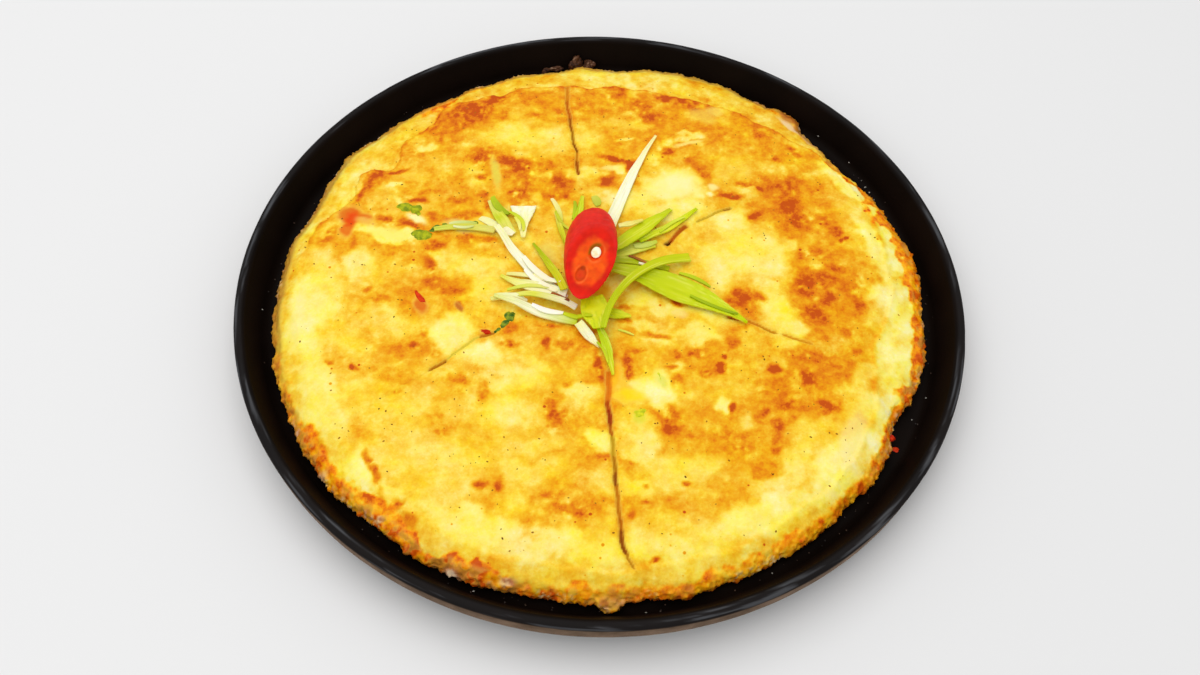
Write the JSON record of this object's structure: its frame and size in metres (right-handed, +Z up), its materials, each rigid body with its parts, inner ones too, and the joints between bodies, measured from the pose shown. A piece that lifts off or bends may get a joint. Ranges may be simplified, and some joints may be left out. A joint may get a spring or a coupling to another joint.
{
  "type": "pajeon on plate",
  "caption": "Round Korean spring-onion pancake cut in wedges on a cast-iron plate, topped with a red chilli slice and spring-onion shreds.",
  "frame": {"origin": "middle of the plate's underside, on the surface it stands on", "axes": "+Z up, +X to the diner's right, -Y towards the diner; the plate is round about +Z"},
  "size_m": [0.28, 0.28, 0.0313],
  "materials": {
    "cast_iron": "seasoned, satin black",
    "crust": "fried batter, golden yellow with orange-brown patches, lightly oiled",
    "onion_white": "moist, cream white to pale green",
    "onion_green": "moist, bright yellow-green",
    "chilli_flesh": "wet, glossy red with an orange middle",
    "chilli_seed": "smooth cream"
  },
  "bodies": {
    "root": {"plate": "cast_iron", "pajeon_slice_1": "crust", "pajeon_slice_2": "crust", "pajeon_slice_3": "crust", "pajeon_slice_4": "crust", "pajeon_slice_5": "crust", "pajeon_slice_6": "crust", "shred_pale_far_left": "onion_white", "shred_green_left": "onion_green", "shred_pale_flared": "onion_white", "shred_green_thin_back": "onion_green", "shred_green_back": "onion_green", "shred_pale_right": "onion_white", "shred_green_low_right": "onion_green", "leaf_green_right": "onion_green", "shred_green_long_right": "onion_green", "shred_green_wide_right": "onion_green", "shred_white_long": "onion_white", "shred_pale_short_right": "onion_white", "shred_white_left": "onion_white", "shred_white_broad_left": "onion_white", "shred_green_spear_left": "onion_green", "shred_pale_thin_left": "onion_white", "shred_pale_low_left": "onion_white", "shred_pale_front": "onion_white", "shred_green_front": "onion_green", "shred_green_short_right": "onion_green", "shred_green_broad_front": "onion_green", "shred_green_hooked": "onion_green", "chilli_slice": "chilli_flesh", "chilli_seed": "chilli_seed"}
  },
  "joints": []
}
